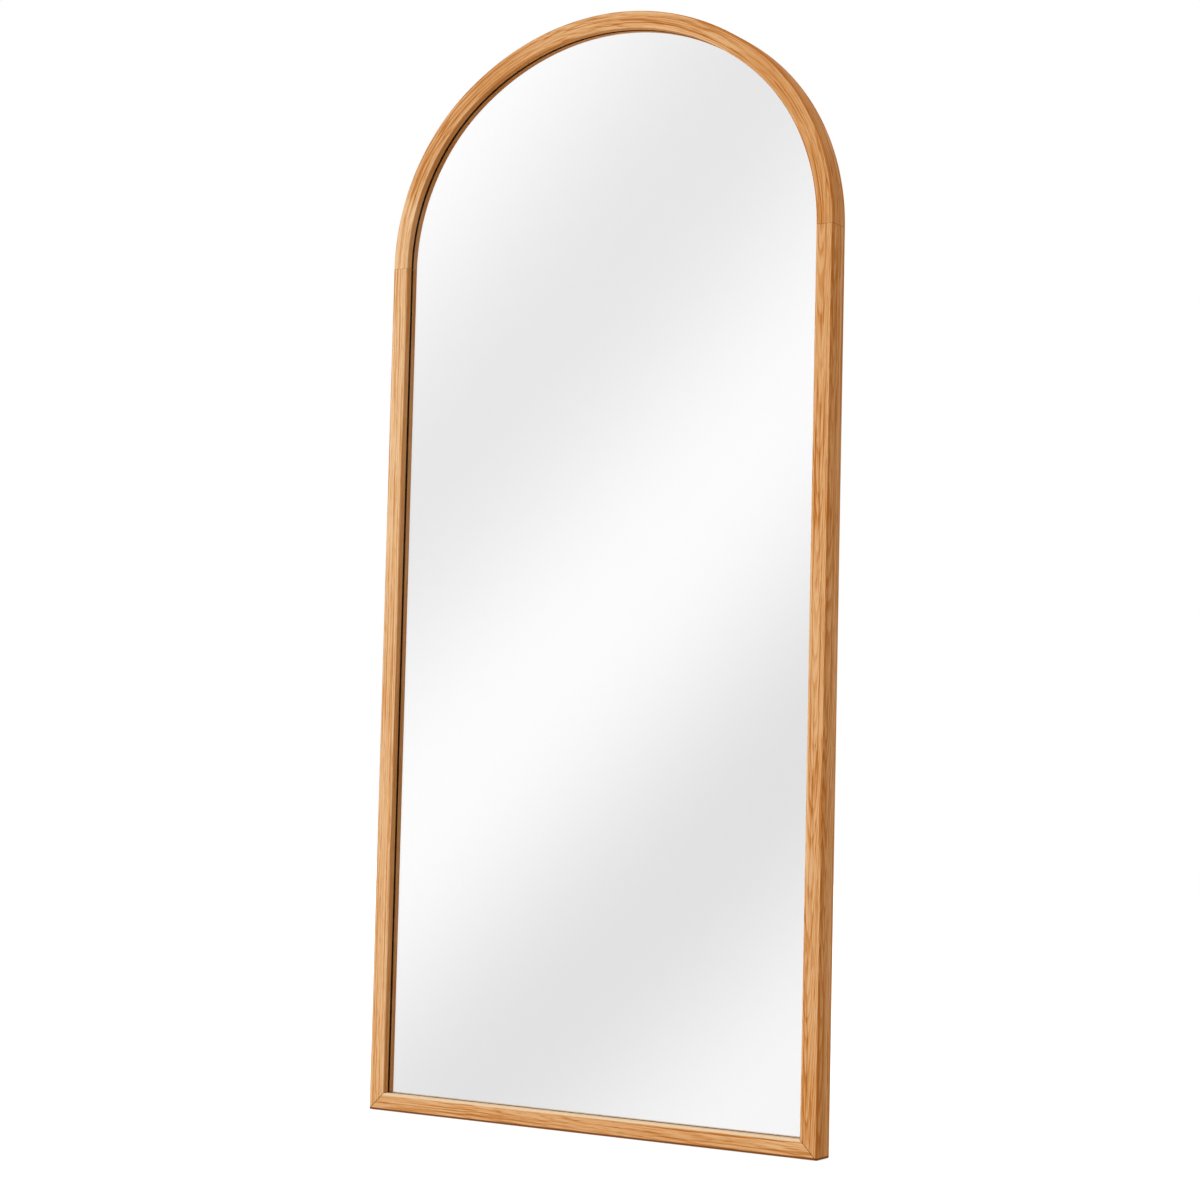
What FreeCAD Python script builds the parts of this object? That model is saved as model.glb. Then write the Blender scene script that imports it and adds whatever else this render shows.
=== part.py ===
import FreeCAD, Part
import os
import re
import Sketcher
from FreeCAD import Placement, Rotation, Vector

# Arched floor mirror, standing upright on the floor.
# X runs to the right, Y from the front of the frame to its back, Z up from the floor.
# Lengths are in millimetres and angles in degrees.
SIZES = [
    ("overall_width", 800, "outside width of the frame"),
    ("frame_height", 1720, "height of the frame above its floor pads"),
    ("arch_rise", 368, "height of the arch above the springing line"),
    ("crown_half_angle", 38, "half of the angle that the flatter crown arc spans"),
    ("face_width", 27.5, "width of the frame seen from the front"),
    ("frame_depth", 40, "depth of the frame from front to back"),
    ("front_round", 2.5, "rounding of the outer front arris"),
    ("sight_round", 2, "rounding of the front arris beside the glass"),
    ("back_round", 1.5, "rounding of the outer back arris"),
    ("lip_depth", 11.5, "thickness of the lip in front of the glass"),
    ("glass_cover", 6, "width of the rebate that takes the glass"),
    ("board_land", 9, "width of the land that the backing board is screwed to"),
    ("glass_thickness", 4, "thickness of the silvered glass"),
    ("glass_clearance", 1.5, "gap between the glass and the wall of its rebate"),
    ("glass_arris", 0.5, "chamfer on the edges of the glass"),
    ("spacer_length", 40, "length of a rubber spacer at the edge of the glass"),
    ("spacer_side_inset", 180, "distance of the bottom spacers from the outside of the frame"),
    ("spacer_end_inset", 260, "distance of the side spacers from the ends of a stile"),
    ("foam_thickness", 2, "thickness of the foam sheet behind the glass"),
    ("foam_setback", 1, "distance of the edge of the foam inside the edge of the glass"),
    ("board_thickness", 6, "thickness of the backing board"),
    ("board_clearance", 0.75, "gap between the backing board and the rim of the frame"),
    ("dowel_diameter", 6, "diameter of a dowel at the springing line"),
    ("dowel_hole_depth", 20, "depth of a dowel hole in each member"),
    ("dowel_end_gap", 1, "glue space at each end of a dowel"),
    ("dowel_pitch", 14, "distance between the two dowels of a joint"),
    ("dowel_chamfer", 0.8, "chamfer at the ends of a dowel"),
    ("spline_width", 12, "width of a mitre spline across the joint"),
    ("spline_thickness", 4, "thickness of a mitre spline"),
    ("spline_wall", 3, "wood left between the corners of a spline and the faces of the frame"),
    ("joint_clearance", 0.05, "gap around dowels, splines and screws in their holes"),
    ("board_screw_shank", 3, "diameter of a backing board screw"),
    ("board_screw_length", 16, "length of a backing board screw"),
    ("board_screw_head", 6, "head diameter of a backing board screw"),
    ("board_screw_end_inset", 70, "distance of the first and last screw from the end of a member"),
    ("hanger_drop", 70, "distance of the hanger eyes below the springing line"),
    ("hanger_inset", 7.75, "distance of the middle of a hanger from the outside of the frame"),
    ("strap_width", 6, "width of a hanger strap"),
    ("strap_thickness", 1, "thickness of a hanger strap"),
    ("strap_length", 38, "length of a hanger strap below its eye"),
    ("strap_round", 2, "rounding of the lower corners of a hanger strap"),
    ("ring_wire", 2, "diameter of the wire of a hanger ring"),
    ("ring_clearance", 0.05, "gap between the wire and the eye of the strap"),
    ("ring_leg", 8, "length of the straight sides of a hanger ring"),
    ("ring_gap", 0.6, "gap between the strap and each side of its ring"),
    ("ring_corner", 1.8, "bend radius of the ring beside its straight bar"),
    ("hanger_screw_shank", 3, "diameter of a hanger screw"),
    ("hanger_screw_length", 12, "length of a hanger screw under its head"),
    ("hanger_screw_head", 5.5, "head diameter of a hanger screw"),
    ("hanger_screw_rise", 1.8, "head height of a hanger screw"),
    ("hanger_screw_round", 0.6, "chamfer round the top of a hanger screw head"),
    ("hanger_screw_first", 20, "distance of the upper hanger screw below the eye"),
    ("hanger_screw_second", 32, "distance of the lower hanger screw below the eye"),
    ("screw_point", 3, "length of the point of a screw"),
    ("recess_width", 0.9, "width of a slot of the cross recess in a screw head"),
    ("recess_length", 3.2, "length of a slot of the cross recess in a screw head"),
    ("recess_depth", 1, "depth of the cross recess in a screw head"),
    ("bumper_diameter", 9, "diameter of a wall bumper where it is stuck on"),
    ("bumper_top", 6.5, "diameter of a wall bumper where it meets the wall"),
    ("bumper_height", 5, "height of a wall bumper"),
    ("bumper_chamfer", 0.8, "chamfer round the top of a wall bumper"),
    ("bumper_foot_height", 120, "height of the lower bumpers above the foot of the frame"),
    ("pad_length", 60, "length of a floor pad"),
    ("pad_width", 20, "width of a floor pad"),
    ("pad_thickness", 1, "thickness of a floor pad"),
    ("pad_round", 4, "rounding of the corners of a floor pad"),
    ("pad_inset", 100, "distance of the middle of the outer pads from the side of the frame"),
    ("overrun", 5, "distance that a cut runs past the wood"),
]

# Sizes that follow from the ones above.
DERIVED = {
    "half_width": "overall_width / 2",
    "arc_step": "(half_width - arch_rise) / (cos(crown_half_angle) + sin(crown_half_angle) - 1)",
    "haunch_radius": "half_width - arc_step * sin(crown_half_angle)",
    "crown_radius": "arch_rise + arc_step * cos(crown_half_angle)",
    "haunch_offset": "arc_step * sin(crown_half_angle)",
    "haunch_angle": "90 - crown_half_angle",
    "frame_top": "pad_thickness + frame_height",
    "springing": "frame_top - arch_rise",
    "crown_centre": "frame_top - crown_radius",
    "front": "-frame_depth / 2",
    "back": "frame_depth / 2",
    "glass_wall": "face_width - glass_cover",
    "rim_width": "glass_wall - board_land",
    "land_depth": "lip_depth + glass_thickness + foam_thickness",
    "glass_front": "front + lip_depth",
    "foam_front": "glass_front + glass_thickness",
    "board_front": "front + land_depth",
    "board_back": "board_front + board_thickness",
    "glass_inset": "glass_wall + glass_clearance",
    "foam_inset": "glass_inset + foam_setback",
    "board_inset": "rim_width + board_clearance",
    "land_middle": "rim_width + board_land / 2",
    "rim_middle": "(back_round + rim_width) / 2",
    "spline_length": "sqrt(2) * (face_width - 2 * spline_wall) - spline_width",
    "spline_front": "front + (lip_depth - spline_thickness) / 2",
    "dowel_radius": "dowel_diameter / 2",
    "dowel_half": "dowel_hole_depth - dowel_end_gap",
    "board_head_radius": "board_screw_head / 2",
    "board_shank_radius": "board_screw_shank / 2",
    "board_head_depth": "board_head_radius - board_shank_radius",
    "hanger_head_radius": "hanger_screw_head / 2",
    "hanger_shank_radius": "hanger_screw_shank / 2",
    "hanger_x": "hanger_inset - half_width",
    "eye_z": "springing - hanger_drop",
    "eye_bore": "ring_wire / 2 + ring_clearance",
    "eye_radius": "eye_bore + strap_thickness",
    "eye_y": "back + eye_radius",
    "bow_radius": "(strap_width + ring_wire) / 2 + ring_gap",
    "spacer_middle": "glass_front + glass_thickness / 2",
}

STILE_SCREWS = 5
RAIL_SCREWS = 4
ARCH_SCREWS = 7
BUMPER_ANGLES = ("45", "135")

doc = FreeCAD.newDocument("arched_floor_mirror")
sheet = doc.addObject("Spreadsheet::Sheet", "Sizes")
for row, (alias, value, meaning) in enumerate(SIZES, start=1):
    sheet.set(f"A{row}", meaning)
    sheet.set(f"B{row}", str(value))
    sheet.setAlias(f"B{row}", alias)
doc.recompute()

ALIASES = {alias for alias, value, meaning in SIZES}


# A formula of size names, spelled out as an expression on the sheet.
def bound(formula):
    def spell(match):
        name = match[0]
        if name in DERIVED:
            return "(" + bound(DERIVED[name]) + ")"
        if name in ALIASES:
            return "Sizes." + name
        return name
    return re.sub(r"[a-z_]+", spell, formula)


# The present value of a formula.
def number(formula):
    return float(sheet.evalExpression(bound(formula)))


def drive(thing, field, formula):
    thing.setExpression(field, bound(formula))


def add_body(name):
    return doc.addObject("PartDesign::Body", name)


# A sketch on one of the body's own planes, shifted by three formulas and turned.
def add_sketch(body, name, role, shift=("0", "0", "0"), turn=Rotation()):
    sketch = body.newObject("Sketcher::SketchObject", name)
    plane = next(item for item in body.Origin.OriginFeatures if item.Role == role)
    sketch.AttachmentSupport = (plane, [""])
    sketch.MapMode = "FlatFace"
    sketch.AttachmentOffset = Placement(Vector(*[number(part) for part in shift]), turn)
    for letter, part in zip("xyz", shift):
        if part != "0":
            drive(sketch, f"AttachmentOffset.Base.{letter}", part)
    return sketch


def relate(sketch, *terms):
    return sketch.addConstraint(Sketcher.Constraint(*terms))


# A dimension of a sketch, driven by a formula.
def measure(sketch, kind, place, formula):
    index = relate(sketch, kind, *place, number(formula))
    drive(sketch, f"Constraints[{index}]", formula)


# The place of one point of a sketch along one axis, measured from its origin.
def locate(sketch, geometry, point, axis, formula):
    if formula == "0":
        relate(sketch, "PointOnObject", geometry, point, -2 if axis == "X" else -1)
    else:
        measure(sketch, "Distance" + axis, (-1, 1, geometry, point), formula)


# A closed outline of upright and level edges, each given by its axis and place.
# A corner named in rounds is rounded; it follows the edge of that number.
def draw_loop(sketch, edges, rounds=None, swap=False):
    rounds = rounds or {}
    count = len(edges)
    letters = {"u": "Y", "v": "X"} if swap else {"u": "X", "v": "Y"}
    corners = []
    for index, edge in enumerate(edges):
        following = edges[(index + 1) % count]
        place = {letters[edge[0]]: number(edge[1]), letters[following[0]]: number(following[1])}
        corners.append(Vector(place["X"], place["Y"]))
    headings = [(corners[index] - corners[index - 1]).normalize() for index in range(count)]
    trims = [number(rounds[index]) if index in rounds else 0 for index in range(count)]
    lines = []
    for index in range(count):
        start = corners[index - 1] + headings[index] * trims[index - 1]
        end = corners[index] - headings[index] * trims[index]
        lines.append(sketch.addGeometry(Part.LineSegment(start, end), False))
        letter = letters[edges[index][0]]
        relate(sketch, "Vertical" if letter == "X" else "Horizontal", lines[index])
        locate(sketch, lines[index], 1, letter, edges[index][1])
    for index in range(count):
        after = (index + 1) % count
        if index not in rounds:
            relate(sketch, "Coincident", lines[index], 2, lines[after], 1)
            continue
        radius = trims[index]
        begin = corners[index] - headings[index] * radius
        finish = corners[index] + headings[after] * radius
        centre = begin + headings[after] * radius
        leftward = headings[index].cross(headings[after]).z > 0
        first, second = (1, 2) if leftward else (2, 1)
        opening = begin - centre if leftward else finish - centre
        angle = Vector(1, 0).getAngle(opening)
        if opening.y < 0:
            angle = -angle
        quarter = FreeCAD.Units.parseQuantity("90 deg").getValueAs("rad").Value
        circle = Part.Circle(centre, Vector(0, 0, 1), radius)
        arc = sketch.addGeometry(Part.ArcOfCircle(circle, angle, angle + quarter), False)
        relate(sketch, "Tangent", lines[index], 2, arc, first)
        relate(sketch, "Tangent", arc, second, lines[after], 1)
        measure(sketch, "Radius", (arc,), rounds[index])


# The cross-section of the frame: u runs in from the outside, v back from the front.
def draw_section(sketch, swap=False):
    edges = [
        ("v", "0"),
        ("u", "face_width"),
        ("v", "lip_depth"),
        ("u", "glass_wall"),
        ("v", "land_depth"),
        ("u", "rim_width"),
        ("v", "frame_depth"),
        ("u", "0"),
    ]
    rounds = {0: "sight_round", 6: "back_round", 7: "front_round"}
    draw_loop(sketch, edges, rounds, swap)


# A construction line along the depth of the frame, for a bend of the given radius.
def draw_bend_axis(sketch, radius, swap=False):
    reach = number(radius)
    depth = number("frame_depth")
    end = Vector(depth, reach) if swap else Vector(reach, depth)
    start = Vector(0, reach) if swap else Vector(reach, 0)
    line = sketch.addGeometry(Part.LineSegment(start, end), True)
    across, along = ("Y", "X") if swap else ("X", "Y")
    relate(sketch, "Horizontal" if swap else "Vertical", line)
    locate(sketch, line, 1, across, radius)
    locate(sketch, line, 1, along, "0")
    locate(sketch, line, 2, along, "frame_depth")


# The outline of a sheet that follows the frame at an inset from its outside.
def draw_arched_outline(sketch, inset):
    crown = number(f"crown_radius - {inset}")
    haunch = number(f"haunch_radius - {inset}")
    side = number(f"half_width - {inset}")
    bottom = number(f"pad_thickness + {inset}")
    springing = number("springing")
    offset = number("haunch_offset")
    turn = FreeCAD.Units.parseQuantity("180 deg").getValueAs("rad").Value
    spread = turn * number("haunch_angle / 180")
    upward = Vector(0, 0, 1)
    ring = Part.Circle(Vector(0, number("crown_centre")), upward, crown)
    right_ring = Part.Circle(Vector(offset, springing), upward, haunch)
    left_ring = Part.Circle(Vector(-offset, springing), upward, haunch)
    corners = [
        Vector(-side, bottom),
        Vector(side, bottom),
        Vector(side, springing),
        Vector(-side, springing),
    ]
    sill = sketch.addGeometry(Part.LineSegment(corners[0], corners[1]), False)
    right = sketch.addGeometry(Part.LineSegment(corners[1], corners[2]), False)
    right_arc = sketch.addGeometry(Part.ArcOfCircle(right_ring, 0, spread), False)
    top_arc = sketch.addGeometry(Part.ArcOfCircle(ring, spread, turn - spread), False)
    left_arc = sketch.addGeometry(Part.ArcOfCircle(left_ring, turn - spread, turn), False)
    left = sketch.addGeometry(Part.LineSegment(corners[3], corners[0]), False)
    relate(sketch, "Coincident", sill, 2, right, 1)
    relate(sketch, "Coincident", left, 2, sill, 1)
    relate(sketch, "Tangent", right, 2, right_arc, 1)
    relate(sketch, "Tangent", right_arc, 2, top_arc, 1)
    relate(sketch, "Tangent", top_arc, 2, left_arc, 1)
    relate(sketch, "Tangent", left_arc, 2, left, 1)
    relate(sketch, "Horizontal", sill)
    relate(sketch, "Vertical", right)
    relate(sketch, "Vertical", left)
    locate(sketch, sill, 1, "Y", f"pad_thickness + {inset}")
    locate(sketch, top_arc, 3, "X", "0")
    locate(sketch, top_arc, 3, "Y", "crown_centre")
    measure(sketch, "Radius", (top_arc,), f"crown_radius - {inset}")
    for arc in (right_arc, left_arc):
        locate(sketch, arc, 3, "Y", "springing")
        measure(sketch, "Radius", (arc,), f"haunch_radius - {inset}")


def pad(body, sketch, length, side="One side", backward=False):
    feature = body.newObject("PartDesign::Pad", sketch.Name + "_pad")
    feature.Profile = sketch
    feature.SideType = side
    feature.Reversed = backward
    drive(feature, "Length", length)
    return feature


def pocket(body, sketch, length, side="One side", backward=False):
    feature = body.newObject("PartDesign::Pocket", sketch.Name + "_pocket")
    feature.Profile = sketch
    feature.SideType = side
    feature.Reversed = backward
    drive(feature, "Length", length)
    return feature


def mirror_features(body, name, features):
    mirror = body.newObject("PartDesign::Mirrored", name)
    plane = next(item for item in body.Origin.OriginFeatures if item.Role == "YZ_Plane")
    mirror.Originals = features
    mirror.MirrorPlane = (plane, [""])
    body.Tip = mirror
    return mirror


# A turned piece, given by the radius and height of each corner of its half outline.
def turned(name, points):
    body = add_body(name)
    sketch = add_sketch(body, name + "_outline", "XZ_Plane")
    spots = [Vector(number(radius), number(height)) for radius, height in points]
    lines = []
    for index in range(len(spots)):
        line = Part.LineSegment(spots[index - 1], spots[index])
        lines.append(sketch.addGeometry(line, False))
    for index, (radius, height) in enumerate(points):
        after = lines[(index + 1) % len(lines)]
        relate(sketch, "Coincident", lines[index], 2, after, 1)
        locate(sketch, lines[index], 2, "X", radius)
        locate(sketch, lines[index], 2, "Y", height)
    feature = body.newObject("PartDesign::Revolution", name + "_turning")
    feature.Profile = sketch
    feature.ReferenceAxis = (sketch, ["V_Axis"])
    return body


# The cross recess that a screwdriver turns, sunk from the given height.
def cut_recess(body, height):
    arm = "recess_length / 2"
    slot = "recess_width / 2"
    edges = [
        ("v", "-" + arm),
        ("u", slot),
        ("v", "-" + slot),
        ("u", arm),
        ("v", slot),
        ("u", slot),
        ("v", arm),
        ("u", "-" + slot),
        ("v", slot),
        ("u", "-" + arm),
        ("v", "-" + slot),
        ("u", "-" + slot),
    ]
    sketch = add_sketch(body, body.Name + "_recess", "XY_Plane", ("0", "0", height))
    draw_loop(sketch, edges)
    pocket(body, sketch, "recess_depth")


# One placed copy of a piece; the place is three formulas.
def placed(master, name, place, turn=Rotation()):
    link = doc.addObject("App::Link", name)
    link.LinkedObject = master
    link.Placement = Placement(Vector(*[number(part) for part in place]), turn)
    for letter, part in zip("xyz", place):
        drive(link, f"Placement.Base.{letter}", part)
    return link


def group(name, members):
    compound = doc.addObject("Part::Compound", name)
    compound.Links = members
    return compound


# Copies of one piece at a list of places, gathered in one object.
def copies(name, master, places, turn=Rotation()):
    links = [placed(master, f"{name}_{index}", place, turn) for index, place in enumerate(places, start=1)]
    return group(name, links)


def cut(name, base, voids):
    result = doc.addObject("Part::Cut", name)
    result.Base = base
    result.Tool = voids[0] if len(voids) == 1 else group(name + "_voids", voids)
    result.Refine = True
    return result


def mirrored(name, source):
    result = doc.addObject("Part::Mirroring", name)
    result.Source = source
    result.Normal = Vector(1, 0, 0)
    return result


# A place on the arch: the angle turns from the left springing over the top to the right one.
def arch_place(angle, inset, depth):
    lean = number(f"{angle}")
    limit = number("haunch_angle")
    reach = f"(haunch_radius - {inset})"
    centre_x = "-haunch_offset"
    centre_z = "springing"
    if lean > number("180 - haunch_angle"):
        centre_x = "haunch_offset"
    elif lean >= limit:
        reach = f"(crown_radius - {inset})"
        centre_x = "0"
        centre_z = "crown_centre"
    return (f"{centre_x} - {reach} * cos({angle})", depth, f"{centre_z} + {reach} * sin({angle})")


TOWARDS_BACK = Rotation(Vector(1, 0, 0), -90)
LEVEL_TURN = Rotation(Vector(0, 1, 0), 180)
OVER_TURN = Rotation(Vector(1, 0, 0), 180)
UPRIGHT_TURN = Rotation(Vector(0, 1, 0), 90)

# Dowels at the springing line, two in each joint.
dowel = turned("dowel", [
    ("0", "-dowel_half"),
    ("dowel_radius - dowel_chamfer", "-dowel_half"),
    ("dowel_radius", "dowel_chamfer - dowel_half"),
    ("dowel_radius", "dowel_half - dowel_chamfer"),
    ("dowel_radius - dowel_chamfer", "dowel_half"),
    ("0", "dowel_half"),
])
dowel_hole = turned("dowel_hole", [
    ("0", "-dowel_hole_depth"),
    ("dowel_radius + joint_clearance", "-dowel_hole_depth"),
    ("dowel_radius + joint_clearance", "dowel_hole_depth"),
    ("0", "dowel_hole_depth"),
])
left_dowel_places = [
    ("rim_width / 2 - half_width", "-dowel_pitch / 2", "springing"),
    ("rim_width / 2 - half_width", "dowel_pitch / 2", "springing"),
]
left_dowels = copies("left_arch_dowels", dowel, left_dowel_places)
right_dowels = mirrored("right_arch_dowels", left_dowels)
left_dowel_holes = copies("left_dowel_holes", dowel_hole, left_dowel_places)
right_dowel_holes = mirrored("right_dowel_holes", left_dowel_holes)


# A flat key across the left mitre, larger than the spline by a clearance.
def mitre_key(name, clearance):
    body = add_body(name)
    along = f"(spline_length / 2 + {clearance})"
    across = f"(spline_width / 2 + {clearance})"
    sketch = add_sketch(body, name + "_outline", "XZ_Plane", ("0", "0", clearance))
    draw_loop(sketch, [("v", "-" + across), ("u", along), ("v", across), ("u", "-" + along)])
    pad(body, sketch, f"spline_thickness + 2 * {clearance}", backward=True)
    middle = ("face_width / 2 - half_width", "spline_front", "pad_thickness + face_width / 2")
    return copies("left_" + name, body, [middle], Rotation(Vector(0, 1, 0), -45))


left_spline = mitre_key("mitre_spline", "0")
left_spline_slot = mitre_key("mitre_slot", "joint_clearance")
right_spline = mirrored("right_mitre_spline", left_spline)
right_spline_slot = mirrored("right_mitre_slot", left_spline_slot)

# Countersunk screws that hold the backing board to the frame, and their holes.
board_screw = turned("board_screw", [
    ("0", "0"),
    ("board_head_radius", "0"),
    ("board_shank_radius", "-board_head_depth"),
    ("board_shank_radius", "screw_point - board_screw_length"),
    ("0", "-board_screw_length"),
])
cut_recess(board_screw, "0")
board_screw_hole = turned("board_screw_hole", [
    ("0", "overrun"),
    ("board_head_radius + joint_clearance", "overrun"),
    ("board_head_radius + joint_clearance", "0"),
    ("board_shank_radius + joint_clearance", "-board_head_depth"),
    ("board_shank_radius + joint_clearance", "screw_point - board_screw_length"),
    ("0", "-board_screw_length - joint_clearance"),
])
stile_run = "(springing - pad_thickness - 2 * board_screw_end_inset)"
left_stile_places = []
right_stile_places = []
for step in range(STILE_SCREWS):
    height = f"pad_thickness + board_screw_end_inset + {stile_run} * {step} / {STILE_SCREWS - 1}"
    left_stile_places.append(("land_middle - half_width", "board_back", height))
    right_stile_places.append(("half_width - land_middle", "board_back", height))
rail_places = []
for step in range(RAIL_SCREWS):
    across = f"2 * (half_width - board_screw_end_inset) * ({step} / {RAIL_SCREWS - 1} - 1 / 2)"
    rail_places.append((across, "board_back", "pad_thickness + land_middle"))
arch_places = []
for step in range(1, ARCH_SCREWS + 1):
    arch_places.append(arch_place(f"180 * {step} / {ARCH_SCREWS + 1}", "land_middle", "board_back"))
board_places = left_stile_places + right_stile_places + rail_places + arch_places
board_screws = copies("backing_screws", board_screw, board_places, TOWARDS_BACK)
stile_screw_holes = copies("stile_screw_holes", board_screw_hole, left_stile_places, TOWARDS_BACK)
rail_screw_holes = copies("rail_screw_holes", board_screw_hole, rail_places, TOWARDS_BACK)
arch_screw_holes = copies("arch_screw_holes", board_screw_hole, arch_places, TOWARDS_BACK)
board_screw_holes = copies("board_screw_holes", board_screw_hole, board_places, TOWARDS_BACK)

# Round-headed screws of the hangers, and their holes.
hanger_screw = turned("hanger_screw", [
    ("0", "hanger_screw_rise"),
    ("hanger_head_radius - hanger_screw_round", "hanger_screw_rise"),
    ("hanger_head_radius", "hanger_screw_rise - hanger_screw_round"),
    ("hanger_head_radius", "0"),
    ("hanger_shank_radius", "0"),
    ("hanger_shank_radius", "screw_point - hanger_screw_length"),
    ("0", "-hanger_screw_length"),
])
cut_recess(hanger_screw, "hanger_screw_rise")
hanger_screw_hole = turned("hanger_screw_hole", [
    ("0", "overrun"),
    ("hanger_shank_radius + joint_clearance", "overrun"),
    ("hanger_shank_radius + joint_clearance", "screw_point - hanger_screw_length"),
    ("0", "-hanger_screw_length - joint_clearance"),
])
left_hanger_places = [
    ("hanger_x", "back + strap_thickness", "eye_z - hanger_screw_first"),
    ("hanger_x", "back + strap_thickness", "eye_z - hanger_screw_second"),
]
left_hanger_screws = copies("left_hanger_screws", hanger_screw, left_hanger_places, TOWARDS_BACK)
right_hanger_screws = mirrored("right_hanger_screws", left_hanger_screws)
left_hanger_holes = copies("left_hanger_holes", hanger_screw_hole, left_hanger_places, TOWARDS_BACK)

# Left stile: a straight length of the section, mitred at the foot.
stile_body = add_body("stile_blank")
stile_section = add_sketch(stile_body, "stile_section", "XY_Plane", ("-half_width", "front", "pad_thickness"))
draw_section(stile_section)
pad(stile_body, stile_section, "springing - pad_thickness")
stile_mitre = add_sketch(
    stile_body, "stile_mitre", "XZ_Plane", ("-half_width - overrun", "pad_thickness - overrun", "0"))


# A triangle with its long side on the mitre line.
def draw_mitre(sketch, foot):
    leg = number("face_width + 2 * overrun")
    tip = Vector(leg, leg)
    corner = Vector(leg, 0) if foot else Vector(0, leg)
    base = sketch.addGeometry(Part.LineSegment(Vector(0, 0), corner), False)
    rise = sketch.addGeometry(Part.LineSegment(corner, tip), False)
    slope = sketch.addGeometry(Part.LineSegment(tip, Vector(0, 0)), False)
    relate(sketch, "Coincident", base, 2, rise, 1)
    relate(sketch, "Coincident", rise, 2, slope, 1)
    relate(sketch, "Coincident", slope, 2, base, 1)
    relate(sketch, "Coincident", base, 1, -1, 1)
    locate(sketch, rise, 1, "X", "face_width + 2 * overrun" if foot else "0")
    locate(sketch, rise, 1, "Y", "0" if foot else "face_width + 2 * overrun")
    locate(sketch, rise, 2, "X", "face_width + 2 * overrun")
    locate(sketch, rise, 2, "Y", "face_width + 2 * overrun")


draw_mitre(stile_mitre, True)
pocket(stile_body, stile_mitre, "frame_depth + 2 * overrun", "Symmetric")
left_stile = cut("left_stile", stile_body, [
    left_dowel_holes,
    left_spline_slot,
    stile_screw_holes,
    left_hanger_holes,
])
right_stile = mirrored("right_stile", left_stile)

# Bottom rail: the same section laid across, mitred at both ends.
rail_body = add_body("rail_blank")
rail_section = add_sketch(rail_body, "rail_section", "YZ_Plane", ("front", "pad_thickness", "0"))
draw_section(rail_section, swap=True)
pad(rail_body, rail_section, "overall_width", "Symmetric")
rail_mitre = add_sketch(
    rail_body, "rail_mitre", "XZ_Plane", ("-half_width - overrun", "pad_thickness - overrun", "0"))
draw_mitre(rail_mitre, False)
rail_end = pocket(rail_body, rail_mitre, "frame_depth + 2 * overrun", "Symmetric")
mirror_features(rail_body, "rail_other_end", [rail_end])
bottom_rail = cut("bottom_rail", rail_body, [left_spline_slot, right_spline_slot, rail_screw_holes])

# Arch: the section bent round a flatter crown and two tighter haunches.
arch_body = add_body("arch_blank")
crown_section = add_sketch(arch_body, "crown_section", "YZ_Plane", ("front", "frame_top", "0"), OVER_TURN)
draw_section(crown_section, swap=True)
draw_bend_axis(crown_section, "crown_radius", swap=True)
crown = arch_body.newObject("PartDesign::Revolution", "crown")
crown.Profile = crown_section
crown.ReferenceAxis = (crown_section, ["Axis0"])
crown.Midplane = True
drive(crown, "Angle", "2 * crown_half_angle")
haunch_section = add_sketch(
    arch_body, "haunch_section", "XY_Plane", ("half_width", "front", "springing"), LEVEL_TURN)
draw_section(haunch_section)
draw_bend_axis(haunch_section, "haunch_radius")
haunch = arch_body.newObject("PartDesign::Revolution", "haunch")
haunch.Profile = haunch_section
haunch.ReferenceAxis = (haunch_section, ["Axis0"])
haunch.Reversed = True
drive(haunch, "Angle", "haunch_angle")
mirror_features(arch_body, "other_haunch", [haunch])
arch_top = cut("arch_top", arch_body, [left_dowel_holes, right_dowel_holes, arch_screw_holes])

# Silvered glass with its edges chamfered all round.
glass_body = add_body("mirror_glass")
glass_outline = add_sketch(glass_body, "glass_outline", "XZ_Plane", ("0", "0", "-glass_front"))
draw_arched_outline(glass_outline, "glass_inset")
glass_pad = pad(glass_body, glass_outline, "glass_thickness", backward=True)
doc.recompute()
flat_edges = []
for index, edge in enumerate(glass_pad.Shape.Edges, start=1):
    if edge.BoundBox.YLength < number("glass_thickness / 2"):
        flat_edges.append(f"Edge{index}")
glass_chamfer = glass_body.newObject("PartDesign::Chamfer", "glass_chamfer")
glass_chamfer.Base = (glass_pad, flat_edges)
drive(glass_chamfer, "Size", "glass_arris")

# Rubber spacers between the edge of the glass and the rebate.
spacer = add_body("spacer")
spacer_outline = add_sketch(spacer, "spacer_outline", "XY_Plane")
draw_loop(spacer_outline, [
    ("v", "-glass_thickness / 2"),
    ("u", "spacer_length / 2"),
    ("v", "glass_thickness / 2"),
    ("u", "-spacer_length / 2"),
])
pad(spacer, spacer_outline, "glass_clearance")
sill_spacers = []
side_spacers = []
for side in ("-1", "1"):
    across = f"{side} * (half_width - spacer_side_inset)"
    sill_spacers.append((across, "spacer_middle", "pad_thickness + glass_wall"))
left_wall = "glass_wall - half_width"
right_wall = "half_width - glass_inset"
for wall in (left_wall, right_wall):
    side_spacers.append((wall, "spacer_middle", "pad_thickness + spacer_end_inset"))
    side_spacers.append((wall, "spacer_middle", "springing - spacer_end_inset"))
glass_spacers = group("glass_spacers", [
    copies("sill_spacers", spacer, sill_spacers),
    copies("side_spacers", spacer, side_spacers, UPRIGHT_TURN),
])

# Foam sheet that presses the glass against the lip.
foam = add_body("foam_sheet")
foam_outline = add_sketch(foam, "foam_outline", "XZ_Plane", ("0", "0", "-foam_front"))
draw_arched_outline(foam_outline, "foam_inset")
pad(foam, foam_outline, "foam_thickness", backward=True)

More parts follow.
